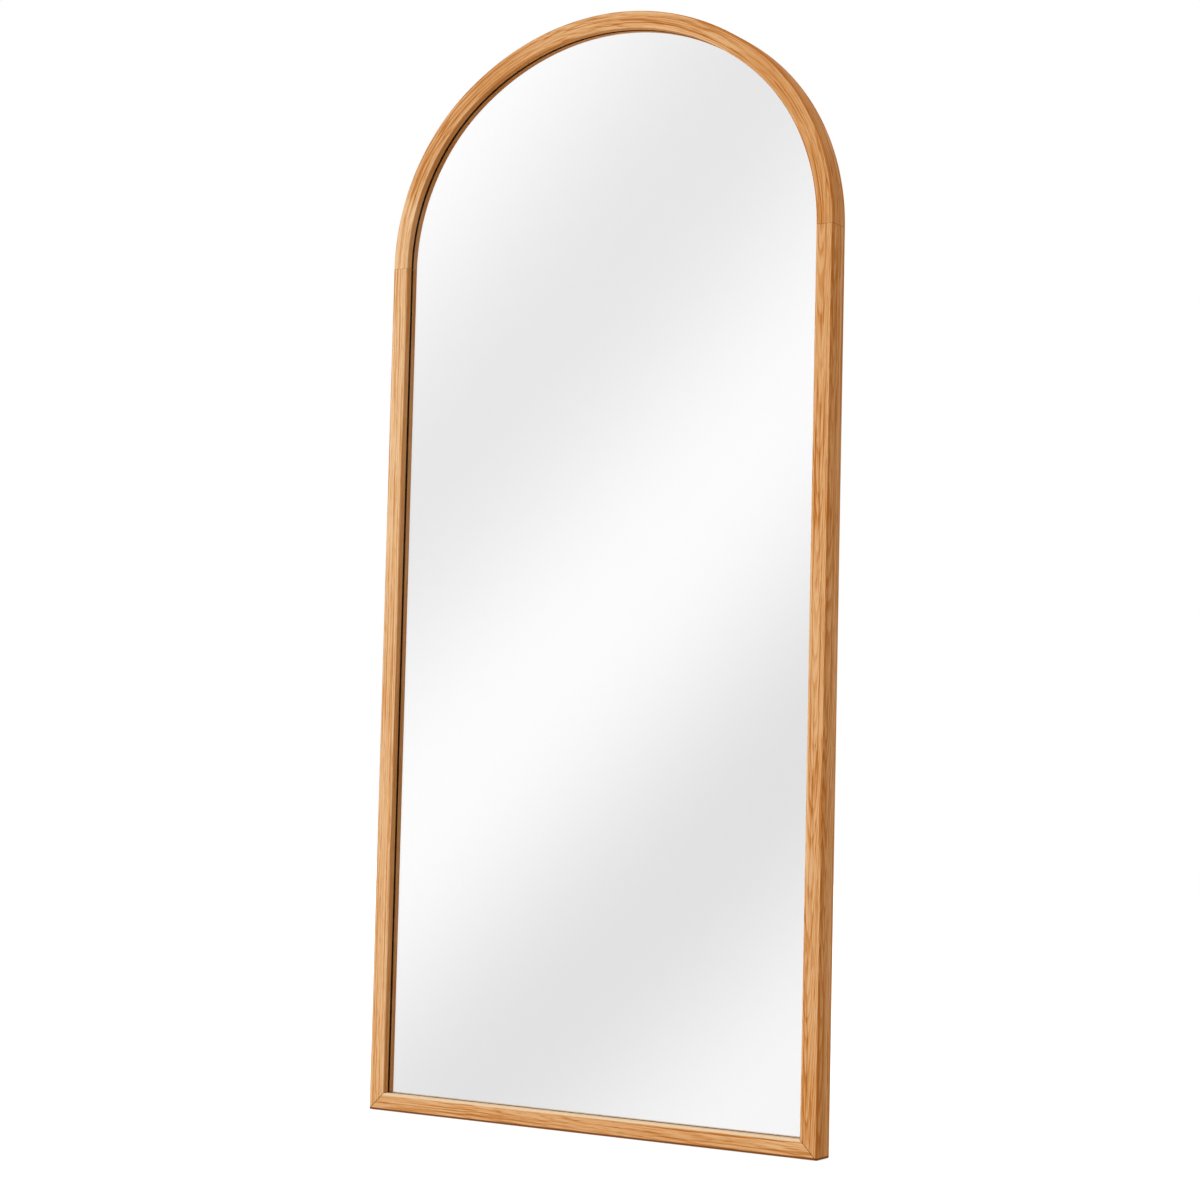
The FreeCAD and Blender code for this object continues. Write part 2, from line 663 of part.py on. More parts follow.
# Backing board, screwed to the land of the frame.
board_body = add_body("board_blank")
board_outline = add_sketch(board_body, "board_outline", "XZ_Plane", ("0", "0", "-board_front"))
draw_arched_outline(board_outline, "board_inset")
pad(board_body, board_outline, "board_thickness", backward=True)
backing_board = cut("backing_board", board_body, [board_screw_holes])

# Hanger strap: a plate with an eye rolled at its upper end.
strap_body = add_body("strap_blank")
strap_plate = add_sketch(strap_body, "strap_plate", "XZ_Plane", ("hanger_x", "eye_z", "-back"))
draw_loop(strap_plate, [
    ("v", "-strap_length"),
    ("u", "strap_width / 2"),
    ("v", "0"),
    ("u", "-strap_width / 2"),
], {0: "strap_round", 3: "strap_round"})
pad(strap_body, strap_plate, "strap_thickness", backward=True)
strap_eye = add_sketch(strap_body, "strap_eye", "YZ_Plane", ("eye_y", "eye_z", "hanger_x"))
for radius in ("eye_radius", "eye_bore"):
    circle = Part.Circle(Vector(0, 0), Vector(0, 0, 1), number(radius))
    loop = strap_eye.addGeometry(circle, False)
    relate(strap_eye, "Coincident", loop, 3, -1, 1)
    measure(strap_eye, "Radius", (loop,), radius)
pad(strap_body, strap_eye, "strap_width", "Symmetric")
left_strap = cut("left_hanger_strap", strap_body, [left_hanger_holes])
right_strap = mirrored("right_hanger_strap", left_strap)

# Hanger ring: bent wire with a straight bar in the eye of the strap and a round bow below.
ring_body = add_body("left_hanger_ring")
ring_path = add_sketch(ring_body, "ring_path", "XZ_Plane", ("hanger_x", "eye_z", "-eye_y"))
reach = number("bow_radius")
bend = number("ring_corner")
leg = number("ring_leg")
half_turn = FreeCAD.Units.parseQuantity("180 deg").getValueAs("rad").Value
quarter_turn = half_turn / 2
upward = Vector(0, 0, 1)
bar = ring_path.addGeometry(Part.LineSegment(Vector(bend - reach, 0), Vector(reach - bend, 0)), False)
right_bend = ring_path.addGeometry(
    Part.ArcOfCircle(Part.Circle(Vector(reach - bend, -bend), upward, bend), 0, quarter_turn), False)
right_leg = ring_path.addGeometry(Part.LineSegment(Vector(reach, -bend), Vector(reach, -leg)), False)
bow = ring_path.addGeometry(
    Part.ArcOfCircle(Part.Circle(Vector(0, -leg), upward, reach), -half_turn, 0), False)
left_leg = ring_path.addGeometry(Part.LineSegment(Vector(-reach, -leg), Vector(-reach, -bend)), False)
left_bend = ring_path.addGeometry(
    Part.ArcOfCircle(Part.Circle(Vector(bend - reach, -bend), upward, bend), quarter_turn, half_turn), False)
relate(ring_path, "Tangent", bar, 2, right_bend, 2)
relate(ring_path, "Tangent", right_bend, 1, right_leg, 1)
relate(ring_path, "Tangent", right_leg, 2, bow, 2)
relate(ring_path, "Tangent", bow, 1, left_leg, 1)
relate(ring_path, "Tangent", left_leg, 2, left_bend, 2)
relate(ring_path, "Tangent", left_bend, 1, bar, 1)
relate(ring_path, "Horizontal", bar)
relate(ring_path, "Vertical", right_leg)
relate(ring_path, "PointOnObject", bar, 1, -1)
locate(ring_path, bow, 3, "X", "0")
locate(ring_path, bow, 3, "Y", "-ring_leg")
measure(ring_path, "Radius", (bow,), "bow_radius")
measure(ring_path, "Radius", (right_bend,), "ring_corner")
measure(ring_path, "Radius", (left_bend,), "ring_corner")
ring_wire = add_sketch(ring_body, "ring_wire_section", "YZ_Plane", ("eye_y", "eye_z", "hanger_x"))
wire = ring_wire.addGeometry(Part.Circle(Vector(0, 0), upward, number("ring_wire / 2")), False)
relate(ring_wire, "Coincident", wire, 3, -1, 1)
measure(ring_wire, "Radius", (wire,), "ring_wire / 2")
ring_sweep = ring_body.newObject("PartDesign::AdditivePipe", "ring_sweep")
ring_sweep.Profile = ring_wire
ring_sweep.Spine = (ring_path, [])
right_ring = mirrored("right_hanger_ring", ring_body)

# Rubber bumpers that keep the metal off the wall.
bumper = turned("bumper", [
    ("0", "0"),
    ("bumper_diameter / 2", "0"),
    ("bumper_top / 2", "bumper_height - bumper_chamfer"),
    ("bumper_top / 2 - bumper_chamfer", "bumper_height"),
    ("0", "bumper_height"),
])
bumper_places = [
    ("rim_middle - half_width", "back", "pad_thickness + bumper_foot_height"),
    ("half_width - rim_middle", "back", "pad_thickness + bumper_foot_height"),
]
for angle in BUMPER_ANGLES:
    bumper_places.append(arch_place(angle, "rim_middle", "back"))
wall_bumpers = copies("wall_bumpers", bumper, bumper_places, TOWARDS_BACK)

# Thin non-slip pads under the bottom rail.
floor_pad = add_body("floor_pad")
pad_outline = add_sketch(floor_pad, "pad_outline", "XY_Plane")
draw_loop(pad_outline, [
    ("v", "-pad_width / 2"),
    ("u", "pad_length / 2"),
    ("v", "pad_width / 2"),
    ("u", "-pad_length / 2"),
], {0: "pad_round", 1: "pad_round", 2: "pad_round", 3: "pad_round"})
pad(floor_pad, pad_outline, "pad_thickness")
floor_pads = copies("floor_pads", floor_pad, [
    ("pad_inset - half_width", "0", "0"),
    ("0", "0", "0"),
    ("half_width - pad_inset", "0", "0"),
])

doc.recompute()

NODES = {
    "arch_top": arch_top,
    "left_stile": left_stile,
    "right_stile": right_stile,
    "bottom_rail": bottom_rail,
    "left_arch_dowels": left_dowels,
    "right_arch_dowels": right_dowels,
    "left_mitre_spline": left_spline,
    "right_mitre_spline": right_spline,
    "mirror_glass": glass_body,
    "glass_spacers": glass_spacers,
    "foam_sheet": foam,
    "backing_board": backing_board,
    "backing_screws": board_screws,
    "left_hanger_strap": left_strap,
    "right_hanger_strap": right_strap,
    "left_hanger_ring": ring_body,
    "right_hanger_ring": right_ring,
    "left_hanger_screws": left_hanger_screws,
    "right_hanger_screws": right_hanger_screws,
    "wall_bumpers": wall_bumpers,
    "floor_pads": floor_pads,
}

for item in doc.Objects:
    if "Invalid" in item.State or "Error" in item.State:
        raise RuntimeError(f"{item.Name} did not rebuild: {item.State}")

os.makedirs("parts", exist_ok=True)
for name, item in NODES.items():
    item.Label = name
    shape = item.Shape
    if shape.isNull() or not shape.isValid() or not shape.Solids:
        raise RuntimeError(f"{name} has no valid solid")
    shape.exportStep(f"parts/{name}.step")
    print(name, len(shape.Solids), "solids", round(shape.Volume), "mm3")
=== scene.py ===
import bmesh
import bpy
import math
from mathutils import Matrix, Vector


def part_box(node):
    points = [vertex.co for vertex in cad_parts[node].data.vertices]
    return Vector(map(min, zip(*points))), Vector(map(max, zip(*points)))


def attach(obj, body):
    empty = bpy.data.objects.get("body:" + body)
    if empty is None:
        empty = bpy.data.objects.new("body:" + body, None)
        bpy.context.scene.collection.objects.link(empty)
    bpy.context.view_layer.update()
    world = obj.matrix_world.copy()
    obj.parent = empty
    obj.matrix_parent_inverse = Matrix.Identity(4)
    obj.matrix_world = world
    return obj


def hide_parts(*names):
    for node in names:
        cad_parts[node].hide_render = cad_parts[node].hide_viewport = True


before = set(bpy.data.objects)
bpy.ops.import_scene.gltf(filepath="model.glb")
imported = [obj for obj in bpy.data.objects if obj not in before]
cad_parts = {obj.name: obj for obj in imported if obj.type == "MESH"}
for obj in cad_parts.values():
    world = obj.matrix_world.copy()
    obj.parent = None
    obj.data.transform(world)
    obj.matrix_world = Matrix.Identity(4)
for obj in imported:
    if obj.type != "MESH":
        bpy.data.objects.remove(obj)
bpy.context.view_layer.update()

# Arched top of the frame: solid oak bent to a three-centred arch, one piece between the stiles.
# Its section has a lip in front of the glass, a rebate behind the lip and a land for the backing board.
# It is glued and dowelled to the tops of the stiles and lacquered with them to a satin finish.
arch_low, arch_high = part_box("arch_top")
half_width = arch_high.x
front = arch_low.y
springing = arch_low.z
arch_rise = 0.368
frame_depth = arch_high.y - front
face_width = 0.0275
rim_width = 0.0125
board_land = 0.009
glass_cover = 0.006
land_depth = 0.0175
lip_depth = 0.0115
front_round = 0.0025
sight_round = 0.002
back_round = 0.0015
# How far the painted black shade of the gap at the glass laps onto the lip.
gap_shade_lap = 0.0004
seam_gap = 0.0001
seam_darkness = 0.6
joint_ease = 0.0003
crown_half_angle = math.radians(38)
haunch_angle = math.radians(90) - crown_half_angle
arc_spread = math.cos(crown_half_angle) + math.sin(crown_half_angle) - 1
arc_step = (half_width - arch_rise) / arc_spread
haunch_offset = arc_step * math.sin(crown_half_angle)
haunch_radius = half_width - haunch_offset
crown_radius = arch_rise + arc_step * math.cos(crown_half_angle)
crown_centre = springing + arch_rise - crown_radius
touching = 0.00001
flat_angle = math.radians(1)
smooth_angle = math.radians(32)


# Selects the vertices, edges or faces whose corners are all at a wanted place.
def pick(piece, kind, wanted):
    bpy.ops.mesh.select_mode(type=kind)
    bpy.ops.mesh.select_all(action="DESELECT")
    shape = bmesh.from_edit_mesh(piece.data)
    parts = {"VERT": shape.verts, "EDGE": shape.edges, "FACE": shape.faces}[kind]
    for part in parts:
        corners = [part] if kind == "VERT" else part.verts
        if all(wanted(corner.co) for corner in corners):
            part.select_set(True)
    bmesh.update_edit_mesh(piece.data)


# Draws the section of the frame flat, with its outside at x = 0, and leaves it in edit mode.
def draw_section(name):
    bpy.ops.object.select_all(action="DESELECT")
    bpy.ops.mesh.primitive_plane_add(size=1, location=(rim_width / 2, front + frame_depth / 2, 0))
    piece = bpy.context.object
    piece.name = name
    piece.scale = (rim_width, frame_depth, 1)
    bpy.ops.object.transform_apply(location=True, rotation=True, scale=True)
    bpy.ops.object.mode_set(mode="EDIT")
    for depth in (land_depth, lip_depth):
        bpy.ops.mesh.select_all(action="SELECT")
        bpy.ops.mesh.bisect(plane_co=(0, front + depth, 0), plane_no=(0, 1, 0))
    ledges = (
        (rim_width, land_depth, board_land),
        (rim_width + board_land, lip_depth, glass_cover),
    )
    for reach, depth, step in ledges:
        pick(piece, "EDGE", lambda co: abs(co.x - reach) < touching and co.y < front + depth + touching)
        bpy.ops.mesh.extrude_edges_move(TRANSFORM_OT_translate={"value": (step, 0, 0)})
    bpy.ops.mesh.select_all(action="SELECT")
    bpy.ops.mesh.remove_doubles(threshold=touching)
    bpy.ops.mesh.dissolve_limited(angle_limit=flat_angle)
    rounds = (
        (0, front, front_round, 6),
        (face_width, front, sight_round, 6),
        (0, front + frame_depth, back_round, 4),
        (rim_width, front + frame_depth, joint_ease, 1),
    )
    for across, depth, radius, segments in rounds:
        corner = Vector((across, depth, 0))
        pick(piece, "VERT", lambda co: (co - corner).length < touching)
        bpy.ops.mesh.bevel(offset=radius, segments=segments, profile=0.5, affect="VERTICES")
    bpy.ops.mesh.select_mode(type="FACE")
    bpy.ops.mesh.select_all(action="SELECT")
    return piece


# Cuts a member at a joint, closes the end and eases the edges of the cut.
def cut_joint(piece, place, outward):
    bpy.ops.mesh.select_all(action="SELECT")
    bpy.ops.mesh.bisect(
        plane_co=place, plane_no=outward, clear_outer=True, use_fill=True, threshold=touching / 2
    )
    pick(piece, "EDGE", lambda co: abs((co - place).dot(outward)) < touching)
    bpy.ops.mesh.bevel(offset=joint_ease, segments=1, affect="EDGES")


# Leaves edit mode with merged seams, outward faces and smooth rounds.
def close_piece(piece):
    bpy.ops.mesh.select_all(action="SELECT")
    bpy.ops.mesh.remove_doubles(threshold=touching / 2)
    bpy.ops.mesh.normals_make_consistent(inside=False)
    bpy.ops.object.mode_set(mode="OBJECT")
    bpy.ops.object.shade_smooth_by_angle(angle=smooth_angle)


# Stores where each corner lies in its board, along, across and through, and how dark the joints are.
# The faces of the glass rebate are given the second material.
def mark_board(piece, place_in_board, joints):
    piece.data.attributes.new("grain", "FLOAT_VECTOR", "POINT")
    piece.data.attributes.new("joint", "FLOAT", "POINT")
    grain = piece.data.attributes["grain"]
    joint = piece.data.attributes["joint"]
    in_rebate = set()
    for corner in piece.data.vertices:
        along, across, depth = place_in_board(corner.co)
        grain.data[corner.index].vector = (along, across, depth)
        for place, outward, darkness in joints:
            if abs((corner.co - place).dot(outward)) < touching:
                joint.data[corner.index].value = darkness
        behind_lip = front + lip_depth - touching < depth < front + land_depth + touching
        if behind_lip and across > face_width / 2 - glass_cover - touching:
            in_rebate.add(corner.index)
    for face in piece.data.polygons:
        if in_rebate.issuperset(face.vertices):
            face.material_index = 1


# One step of arithmetic between sockets or plain numbers in a node tree.
def reckon(tree, operation, first, second=0.0, third=0.0):
    step = tree.nodes.new("ShaderNodeMath")
    step.operation = operation
    for socket, value in zip(step.inputs, (first, second, third)):
        if isinstance(value, bpy.types.NodeSocket):
            tree.links.new(value, socket)
        else:
            socket.default_value = value
    return step.outputs["Value"]


# A base value with a share of each mark added to it.
def add_shares(tree, base, shares):
    for mark, share in shares:
        base = reckon(tree, "MULTIPLY_ADD", mark, share, base)
    return base


# A smooth step of a value from one level to another, from 0 to 1.
def ease(tree, value, start, end):
    step = tree.nodes.new("ShaderNodeMapRange")
    step.interpolation_type = "SMOOTHSTEP"
    tree.links.new(value, step.inputs["Value"])
    step.inputs["From Min"].default_value = start
    step.inputs["From Max"].default_value = end
    return step.outputs["Result"]


# Noise stretched along the first axis of a place, around zero.
def drawn_noise(tree, place, along, across, detail):
    stretch = tree.nodes.new("ShaderNodeVectorMath")
    stretch.operation = "MULTIPLY"
    tree.links.new(place, stretch.inputs[0])
    stretch.inputs[1].default_value = (along, across, across)
    noise = tree.nodes.new("ShaderNodeTexNoise")
    noise.inputs["Scale"].default_value = 1
    noise.inputs["Detail"].default_value = detail
    tree.links.new(stretch.outputs["Vector"], noise.inputs["Vector"])
    return reckon(tree, "SUBTRACT", noise.outputs["Fac"], 0.5)


# Growth rings, wavy streaks, fibre lines and pores of oak, from the place in the board.
# Painted light and shade lie over the wood: a painted highlight along the front arrises, painted shade
# on the sides that is deepest just past the arrises, painted shade along the foot of the frame,
# and a paler band along the sides towards the back. The lip beside the glass is painted deeper and
# warmer as shade, the rail's sight edge has a painted sheen, and painted black shade of the gap at the
# glass laps onto the lip.
def build_oak_figure():
    group = bpy.data.node_groups.new("oak_figure", "ShaderNodeTree")
    vectors = ("Grain", "Board Shift", "Pith")
    # Side Shading, Lip Shading and Painted Sheen set the painted light and shade of each board.
    numbers = (
        "Joint", "Ring", "Taper", "Wander", "Sway", "Tone", "Figure", "Edge Tone", "Sight Tone", "Worn"
    )
    for name in vectors:
        group.interface.new_socket(name, in_out="INPUT", socket_type="NodeSocketVector")
    for name in numbers:
        group.interface.new_socket(name, in_out="INPUT", socket_type="NodeSocketFloat")
    group.interface.new_socket("Color", in_out="OUTPUT", socket_type="NodeSocketColor")
    group.interface.new_socket("Roughness", in_out="OUTPUT", socket_type="NodeSocketFloat")
    group.interface.new_socket("Height", in_out="OUTPUT", socket_type="NodeSocketFloat")
    given = group.nodes.new("NodeGroupInput")
    result = group.nodes.new("NodeGroupOutput")

    # Cycles per metre along and across the grain, and the detail, of each kind of noise.
    sway_scale = (11, 26, 1)
    scales = {
        "wander": (3.5, 40, 1),
        "patch": (7, 25, 1),
        "broad": (3, 80, 1),
        "streak": (3, 300, 2),
        "thread": (7, 560, 2),
        "fibre": (60, 2000, 1),
        "speck": (42, 900, 1),
    }
    shifted = group.nodes.new("ShaderNodeVectorMath")
    shifted.operation = "ADD"
    group.links.new(given.outputs["Grain"], shifted.inputs[0])
    group.links.new(given.outputs["Board Shift"], shifted.inputs[1])
    sway = drawn_noise(group, shifted.outputs["Vector"], *sway_scale)
    sideways = reckon(group, "MULTIPLY", sway, given.outputs["Sway"])
    bent = group.nodes.new("ShaderNodeCombineXYZ")
    group.links.new(sideways, bent.inputs["Y"])
    group.links.new(sideways, bent.inputs["Z"])
    swayed = group.nodes.new("ShaderNodeVectorMath")
    swayed.operation = "ADD"
    group.links.new(shifted.outputs["Vector"], swayed.inputs[0])
    group.links.new(bent.outputs["Vector"], swayed.inputs[1])
    place = swayed.outputs["Vector"]
    noise = {}
    for name, scale in scales.items():
        noise[name] = drawn_noise(group, place, *scale)

    from_pith = group.nodes.new("ShaderNodeVectorMath")
    from_pith.operation = "SUBTRACT"
    group.links.new(given.outputs["Grain"], from_pith.inputs[0])
    group.links.new(given.outputs["Pith"], from_pith.inputs[1])
    parts = group.nodes.new("ShaderNodeSeparateXYZ")
    group.links.new(from_pith.outputs["Vector"], parts.inputs["Vector"])
    across_square = reckon(group, "MULTIPLY", parts.outputs["Y"], parts.outputs["Y"])
    radius_square = reckon(group, "MULTIPLY_ADD", parts.outputs["Z"], parts.outputs["Z"], across_square)
    radius = reckon(group, "SQRT", radius_square)
    radius = reckon(group, "MULTIPLY_ADD", parts.outputs["X"], given.outputs["Taper"], radius)
    radius = reckon(group, "MULTIPLY_ADD", noise["wander"], given.outputs["Wander"], radius)
    radius = reckon(group, "ADD", radius, sideways)
    ring_place = reckon(group, "FRACT", reckon(group, "DIVIDE", radius, given.outputs["Ring"]))
    # Where each mark starts to show and where it is full.
    ring_rise = (0.0, 0.14)
    ring_fall = (0.66, 0.18)
    line_edge = (0.04, 0.13)
    hair_edge = (0.05, 0.14)
    dash_edge = (0.06, 0.20)
    ring_level = 0.8
    ring_change = 1.6
    rise = ease(group, ring_place, *ring_rise)
    fall = ease(group, ring_place, *ring_fall)
    ring = reckon(group, "MULTIPLY", rise, fall)
    ring_strength = reckon(group, "MULTIPLY_ADD", noise["patch"], ring_change, ring_level)
    ring = reckon(group, "MULTIPLY", ring, ring_strength)
    line = ease(group, noise["streak"], *line_edge)
    hair = ease(group, noise["thread"], *hair_edge)
    dash = ease(group, noise["speck"], *dash_edge)

    # Places across the face from its middle, depths behind its front and the height of the foot
    # where the painted light and shade change, and how much deeper the painted shade makes the sides
    # and the lip.
    outer_arris = (-0.0113, -0.0121)
    sight_arris = (0.0129, 0.0135)
    arris_highlight_edge = (0.0100, 0.0111)
    sheen_edge = (0.0097, 0.0112)
    front_zone = (0.0055, 0.0025)
    pale_rise = (frame_depth - 0.018, frame_depth - 0.013)
    pale_fall = (frame_depth - 0.009, frame_depth - 0.005)
    gap_shade_blur = 0.0002
    gap_shade_start = lip_depth - gap_shade_lap - gap_shade_blur
    gap_shade_end = lip_depth - gap_shade_lap + gap_shade_blur
    foot_shade_edge = (0.0049, 0.0037)
    side_shade_tone = 0.30
    arris_shade_tone = 0.27
    pale_band_tone = -0.20
    lip_shade_tone = 0.65
    lip_front_shade_tone = 0.35
    lies = group.nodes.new("ShaderNodeSeparateXYZ")
    group.links.new(given.outputs["Grain"], lies.inputs["Vector"])
    off_front = reckon(group, "SUBTRACT", lies.outputs["Z"], front)
    near_front = ease(group, off_front, *front_zone)
    outside = ease(group, lies.outputs["Y"], *outer_arris)
    sight = ease(group, lies.outputs["Y"], *sight_arris)
    to_arris = reckon(group, "ABSOLUTE", lies.outputs["Y"])
    flat = reckon(group, "SUBTRACT", 1.0, reckon(group, "ADD", outside, sight))
    # Painted highlight along the front arrises, pale where the rounds would catch the light.
    painted_arris_highlight = reckon(group, "MULTIPLY", ease(group, to_arris, *arris_highlight_edge), flat)
    painted_arris_highlight = reckon(group, "MULTIPLY", painted_arris_highlight, near_front)
    # Painted shade on the sides, deepest just past the arrises and less deep in a band towards the
    # back.
    painted_side_shade = reckon(group, "MULTIPLY_ADD", near_front, arris_shade_tone, side_shade_tone)
    pale_start = ease(group, off_front, *pale_rise)
    pale_end = ease(group, off_front, *pale_fall)
    pale_band = reckon(group, "SUBTRACT", pale_start, pale_end)
    painted_side_shade = reckon(group, "MULTIPLY_ADD", pale_band, pale_band_tone, painted_side_shade)
    painted_side_shade = reckon(group, "MULTIPLY", painted_side_shade, given.outputs["Edge Tone"])
    # Painted shade on the lip beside the glass, deepest near the front.
    painted_lip_shade = reckon(group, "MULTIPLY_ADD", near_front, lip_front_shade_tone, lip_shade_tone)
    painted_lip_shade = reckon(group, "MULTIPLY", painted_lip_shade, given.outputs["Sight Tone"])
    # Painted sheen on the sight edge of the rail.
    sheen_zone = ease(group, lies.outputs["Y"], *sheen_edge)
    worn = reckon(group, "MULTIPLY", sheen_zone, given.outputs["Worn"])
    # Painted black shade of the gap at the glass, lapping onto the lip.
    painted_gap_shade = ease(group, off_front, gap_shade_start, gap_shade_end)
    painted_gap_shade = reckon(group, "MULTIPLY", painted_gap_shade, sight)
    # Painted shade along the foot of the frame, by height above the floor.
    stands = group.nodes.new("ShaderNodeTexCoord")
    height = group.nodes.new("ShaderNodeSeparateXYZ")
    group.links.new(stands.outputs["Object"], height.inputs["Vector"])
    painted_foot_shade = ease(group, height.outputs["Z"], *foot_shade_edge)

    # How much each mark deepens the tone of the pale ground.
    ground = -0.34
    tone_spread = 0.8
    tone_middle = 0.536
    figure = add_shares(group, ground, ((ring, 0.34), (line, 0.50), (hair, 0.42), (dash, 0.20)))
    figure = reckon(group, "MULTIPLY", figure, given.outputs["Figure"])
    depth = reckon(group, "ADD", figure, given.outputs["Tone"])
    depth = add_shares(group, depth, (
        (noise["broad"], 0.28),
        (noise["patch"], 0.18),
        (noise["fibre"], 0.25),
        # Painted highlight on the arrises, painted shade on the sides and the lip.
        (painted_arris_highlight, -0.16),
        (outside, painted_side_shade),
        (sight, painted_lip_shade),
    ))
    depth = reckon(group, "MULTIPLY_ADD", depth, tone_spread, tone_middle)
    colour = group.nodes.new("ShaderNodeValToRGB")
    group.links.new(depth, colour.inputs["Fac"])
    shades = colour.color_ramp.elements
    shades[0].color = (0.89, 0.585, 0.325, 1)
    shades[1].color = (0.46, 0.145, 0.021, 1)
    shades.new(0.2).color = (0.81, 0.472, 0.229, 1)
    shades.new(0.6).color = (0.645, 0.290, 0.091, 1)

    # Stains and painted light over the wood, each with how much of it shows and its colour.
    # The pores and joints are real; the lip, rail sheen, foot and gap marks are painted shade and a
    # painted sheen.
    pore_bands = reckon(group, "MULTIPLY_ADD", ring, 0.75, 0.25)
    pore = reckon(group, "MULTIPLY", dash, pore_bands)
    shade = colour.outputs["Color"]
    stains_and_painted_shade = (
        (pore, 0.35, (0.28, 0.095, 0.018, 1)),
        # Painted shade: a warmer, deeper tone on the lip beside the glass.
        (sight, 0.5, (0.77, 0.30, 0.08, 1)),
        # Painted sheen on the rail's sight edge.
        (worn, 1, (0.85, 0.63, 0.41, 1)),
        # Painted shade along the foot of the frame.
        (painted_foot_shade, 0.95, (0.20, 0.055, 0.006, 1)),
        # Painted black shade of the gap at the glass.
        (painted_gap_shade, 1, (0.008, 0.005, 0.003, 1)),
        (given.outputs["Joint"], 1, (0.07, 0.025, 0.008, 1)),
    )
    for mark, cover, stain_and_shade in stains_and_painted_shade:
        amount = reckon(group, "MULTIPLY", mark, cover)
        blend = group.nodes.new("ShaderNodeMix")
        blend.data_type = "RGBA"
        group.links.new(amount, blend.inputs["Factor"])
        group.links.new(shade, blend.inputs["A"])
        blend.inputs["B"].default_value = stain_and_shade
        shade = blend.outputs["Result"]
    group.links.new(shade, result.inputs["Color"])

    # The lacquer is duller over streaks and pores, and sinks into pores and rings.
    satin = 0.40
    dullness = add_shares(group, satin, ((noise["streak"], 0.16), (pore, 0.18)))
    group.links.new(dullness, result.inputs["Roughness"])
    relief = add_shares(group, 0.0, ((noise["fibre"], 0.5), (pore, -0.8), (ring, -0.25)))
    group.links.new(relief, result.inputs["Height"])
    return group


oak_figure = build_oak_figure()


# The tone of a board along its length, eased between the given places.
def tone_along(tree, grain, tones):
    lies = tree.nodes.new("ShaderNodeSeparateXYZ")
    tree.links.new(grain, lies.inputs["Vector"])
    start = tones[0][0]
    length = tones[-1][0] - start
    share = reckon(tree, "DIVIDE", reckon(tree, "SUBTRACT", lies.outputs["X"], start), length)
    run = tree.nodes.new("ShaderNodeValToRGB")
    tree.links.new(share, run.inputs["Fac"])
    stops = run.color_ramp.elements
    stops.remove(stops[1])
    middle_grey = 0.5
    run.color_ramp.interpolation = "EASE"
    for along, tone in tones:
        stop = stops[0] if along == start else stops.new((along - start) / length)
        level = tone + middle_grey
        stop.color = (level, level, level, 1)
    return reckon(tree, "SUBTRACT", run.outputs["Color"], middle_grey)


# Satin-lacquered oak of one board: its tone along its length, its place in the log and its figure.
def lacquered_oak(name, tones, **board):
    oak = bpy.data.materials.new(name)
    oak.use_nodes = True
    tree = oak.node_tree
    surface = tree.nodes["Principled BSDF"]
    surface.inputs["Specular IOR Level"].default_value = 0
    surface.inputs["Coat Roughness"].default_value = 0.3
    surface.inputs["Coat Weight"].default_value = 0.1
    wood = tree.nodes.new("ShaderNodeGroup")
    wood.node_tree = oak_figure
    for trait, value in board.items():
        wood.inputs[trait.replace("_", " ").title()].default_value = value
    for socket, output, attribute in (("Grain", "Vector", "grain"), ("Joint", "Fac", "joint")):
        stored = tree.nodes.new("ShaderNodeAttribute")
        stored.attribute_name = attribute
        tree.links.new(stored.outputs[output], wood.inputs[socket])
    grain = wood.inputs["Grain"].links[0].from_socket
    tree.links.new(tone_along(tree, grain, tones), wood.inputs["Tone"])
    bump = tree.nodes.new("ShaderNodeBump")
    bump.inputs["Strength"].default_value = 0.35
    bump.inputs["Distance"].default_value = 0.00012
    tree.links.new(wood.outputs["Height"], bump.inputs["Height"])
    tree.links.new(wood.outputs["Color"], surface.inputs["Base Color"])
    tree.links.new(wood.outputs["Roughness"], surface.inputs["Roughness"])
    tree.links.new(bump.outputs["Normal"], surface.inputs["Normal"])
    return oak


# Black stain brushed into the rebate, so that no pale wood shows through the edge of the glass. It also
# stands as painted shade, blacker than the light in the gap between the lip and the glass would make
# it.
rebate_stain_and_shade = bpy.data.materials.new("rebate_stain_and_shade")
rebate_stain_and_shade.use_nodes = True
stain_and_shade = rebate_stain_and_shade.node_tree
stain_surface = stain_and_shade.nodes["Principled BSDF"]
stain_surface.inputs["Specular IOR Level"].default_value = 0.1
stain_place = stain_and_shade.nodes.new("ShaderNodeTexCoord")
brush = drawn_noise(stain_and_shade, stain_place.outputs["Object"], along=300, across=300, detail=3)
stain_shade = stain_and_shade.nodes.new("ShaderNodeValToRGB")
stain_and_shade.links.new(reckon(stain_and_shade, "ADD", brush, 0.5), stain_shade.inputs["Fac"])
stain_shade.color_ramp.elements[0].color = (0.004, 0.003, 0.002, 1)
stain_shade.color_ramp.elements[1].color = (0.016, 0.011, 0.007, 1)
stain_and_shade.links.new(stain_shade.outputs["Color"], stain_surface.inputs["Base Color"])
stain_and_shade.links.new(reckon(stain_and_shade, "MULTIPLY_ADD", brush, 0.2, 0.75), stain_surface.inputs["Roughness"])


